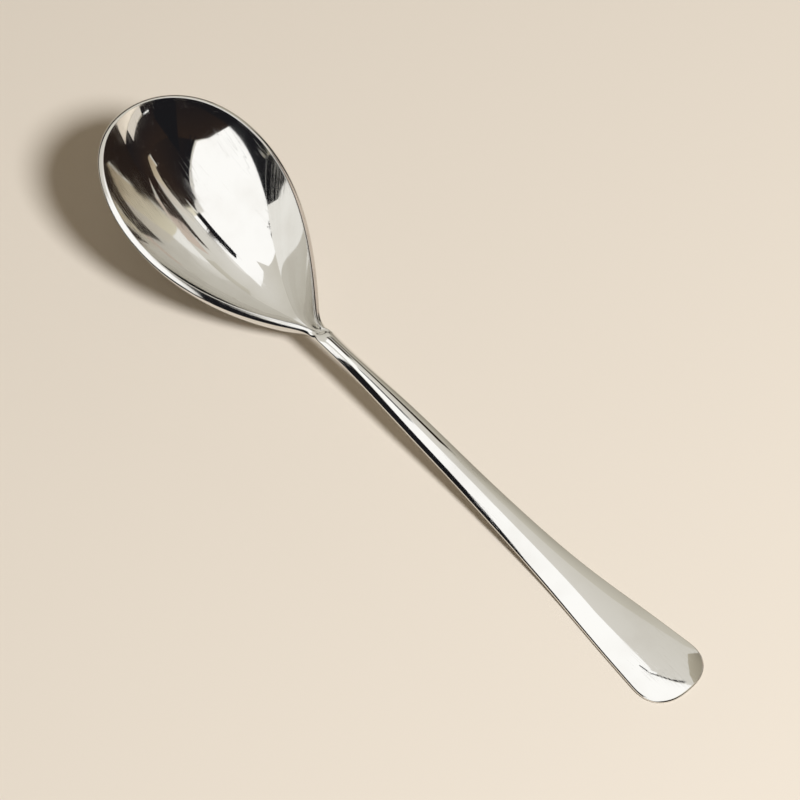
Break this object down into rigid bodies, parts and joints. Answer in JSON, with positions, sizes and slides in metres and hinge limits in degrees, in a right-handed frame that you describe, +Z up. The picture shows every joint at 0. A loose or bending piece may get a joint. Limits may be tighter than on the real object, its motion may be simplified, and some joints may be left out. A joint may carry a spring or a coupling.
{
  "type": "serving spoon",
  "caption": "One-piece polished steel serving spoon with a deep raised bowl, a narrow neck and a handle that widens to a rounded end.",
  "frame": {"origin": "on the table below the middle of the length: centre of the bounding box's bottom, with the spoon at rest on its bowl and its handle's end", "axes": "+X along the spoon from the bowl's tip to the handle's end, +Y across it, +Z up from the table"},
  "size_m": [0.25, 0.0558, 0.0375],
  "materials": {
    "polished_steel": "mirror-polished stainless steel, not plated, with fine wear scratches"
  },
  "bodies": {
    "root": {"spoon": "polished_steel"}
  },
  "joints": []
}
